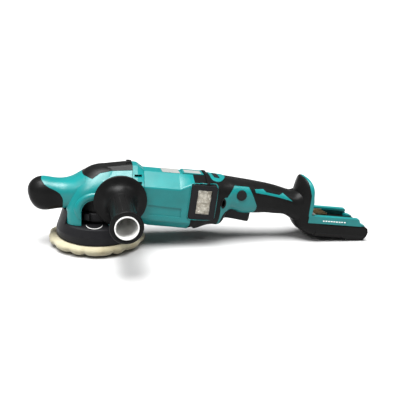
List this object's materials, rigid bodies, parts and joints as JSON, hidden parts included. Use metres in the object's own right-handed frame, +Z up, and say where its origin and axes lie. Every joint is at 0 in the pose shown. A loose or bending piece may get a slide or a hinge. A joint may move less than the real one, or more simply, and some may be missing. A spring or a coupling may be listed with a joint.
{
  "type": "dual action polisher",
  "caption": "Cordless in-line dual action polisher with foam pad, side grip, arched head, paddle trigger and a battery foot, shown without its battery.",
  "frame": {"origin": "where the spindle axis meets the working face of the pad, on the ground", "axes": "+X from the spindle towards the battery foot, +Z up along the spindle, side grip on -Y"},
  "size_m": [0.5234, 0.2232, 0.1248],
  "materials": {
    "teal_shell": "satin moulded",
    "soft_black": "matte soft-touch",
    "black_plastic": "fine texture",
    "white_plastic": "smooth",
    "foam": "open-cell foam",
    "hook_pile": "hook pile",
    "urethane": "moulded",
    "ground_steel": "ground",
    "zinc_steel": "plated",
    "cast_aluminium": "die cast",
    "black_casting": "die cast, painted black",
    "contact_brass": "bright",
    "lamination_steel": "stacked sheets",
    "screen_mesh": "woven",
    "label_film": "printed film, blank",
    "grey_plastic": "moulded"
  },
  "bodies": {
    "body": {"ring_gear": "ground_steel", "spindle_bearing_lower": "ground_steel", "spindle_bearing_upper": "ground_steel", "gear_housing": "black_casting", "head_housing": "teal_shell", "head_top_cover": "soft_black", "front_grip": "soft_black", "grip_inserts": "contact_brass", "skirt": "black_plastic", "grip_guard": "soft_black", "grip_sleeve": "soft_black", "grip_core": "white_plastic", "grip_stud": "zinc_steel", "motor_bearing_front": "ground_steel", "motor_bearing_rear": "ground_steel", "stator": "lamination_steel", "air_baffle": "grey_plastic", "motor_housing": "teal_shell", "vent_collar": "teal_shell", "rating_label": "label_film", "handle_left": "soft_black", "handle_right": "soft_black", "side_panel_left": "teal_shell", "side_panel_right": "teal_shell", "accent_stripes": "teal_shell", "battery_frame": "teal_shell", "terminal_block": "grey_plastic", "battery_contacts": "contact_brass", "trigger_pin": "zinc_steel", "switch_body": "grey_plastic", "controller": "grey_plastic", "power_leads": "urethane", "handle_screws": "zinc_steel", "display_frame": "teal_shell", "display_window": "label_film", "soft_rib": "soft_black", "dial_bezel": "teal_shell"},
    "spindle_group": {"spindle": "ground_steel", "eccentric": "cast_aluminium", "counterweight": "zinc_steel", "bevel_wheel": "ground_steel", "pad_bearings": "ground_steel"},
    "pad_group": {"foam_pad": "foam", "hook_disc": "hook_pile", "backing_pad": "urethane", "pad_bolt": "zinc_steel", "pad_shaft": "ground_steel", "hub_gear": "ground_steel"},
    "rotor": {"rotor_shaft": "ground_steel", "rotor_core": "lamination_steel", "cooling_fan": "grey_plastic", "pinion": "ground_steel"},
    "trigger": {"trigger": "black_plastic"},
    "lock_button": {"lock_button": "black_plastic"},
    "speed_dial": {"speed_dial": "black_plastic"},
    "mode_ring": {"mode_change_ring": "black_plastic"},
    "dust_left": {"dust_cover_left": "black_plastic", "dust_screen_left": "screen_mesh"},
    "dust_right": {"dust_cover_right": "black_plastic", "dust_screen_right": "screen_mesh"}
  },
  "joints": [
    {"name": "spindle_spin", "type": "hinge", "parent": "body", "child": "spindle_group", "pos_m": [0, 0, 0.05], "axis": [0, 0, 1], "continuous": true},
    {"name": "motor_spin", "type": "hinge", "parent": "body", "child": "rotor", "pos_m": [0, 0, 0.081], "axis": [0.9957, 0, -0.0924], "continuous": true},
    {"name": "pad_spin", "type": "hinge", "parent": "spindle_group", "child": "pad_group", "pos_m": [-0.00275, 0, 0.04], "axis": [0, 0, 1], "continuous": true},
    {"name": "trigger_pull", "type": "hinge", "parent": "body", "child": "trigger", "pos_m": [0.19108, 0, 0.05675], "axis": [0, -1, 0], "range_deg": [0, 7], "stiffness_Nm_per_rad": 1.2, "springref_deg": -6.88},
    {"name": "lock_button_press", "type": "slide", "parent": "body", "child": "lock_button", "axis": [0, 1, 0], "range_m": [0, 0.003], "stiffness_N_per_m": 300, "springref_m": -0.002},
    {"name": "speed_dial_turn", "type": "hinge", "parent": "body", "child": "speed_dial", "pos_m": [0.1723, 0, 0.08711], "axis": [0.9957, 0, -0.0924], "range_deg": [-110, 110]},
    {"name": "mode_ring_turn", "type": "hinge", "parent": "body", "child": "mode_ring", "pos_m": [0, 0, 0.049], "axis": [0, 0, 1], "range_deg": [0, 34]},
    {"name": "dust_cover_left_pull", "type": "slide", "parent": "body", "child": "dust_left", "axis": [0, -1, 0], "range_m": [0, 0.012]},
    {"name": "dust_cover_right_pull", "type": "slide", "parent": "body", "child": "dust_right", "axis": [0, 1, 0], "range_m": [0, 0.012]}
  ],
  "couplings": [
    {"joint": "motor_spin", "follows": "spindle_spin", "ratio": 3.7},
    {"joint": "pad_spin", "follows": "spindle_spin", "ratio": -1.1143}
  ]
}
